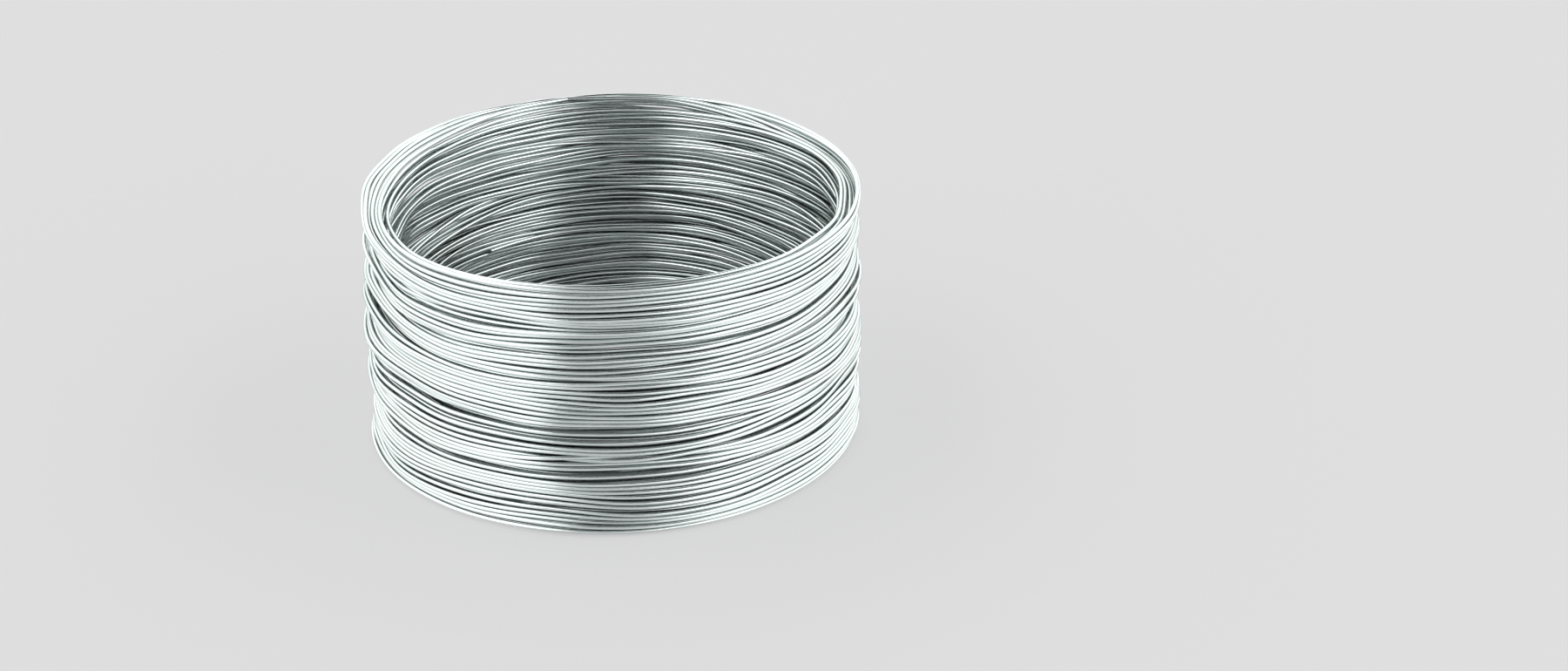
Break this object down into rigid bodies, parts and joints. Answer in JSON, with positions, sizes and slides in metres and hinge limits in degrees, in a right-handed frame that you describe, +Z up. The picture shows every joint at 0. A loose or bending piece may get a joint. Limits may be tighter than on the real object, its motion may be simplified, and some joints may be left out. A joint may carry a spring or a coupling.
{
  "type": "coil of binding wire",
  "caption": "Short, wide coil of bright steel binding wire standing on its end, with an open round bore.",
  "frame": {"origin": "on the axis of the bore, at the level that the coil stands on", "axes": "+Z up along the axis of the coil; the turns lie round it, and X and Y are alike"},
  "size_m": [0.108, 0.108, 0.0558],
  "materials": {
    "bright_wire": "bright drawn wire, galvanised, with fine lines along its length"
  },
  "bodies": {
    "root": {"wire_coil": "bright_wire"}
  },
  "joints": []
}
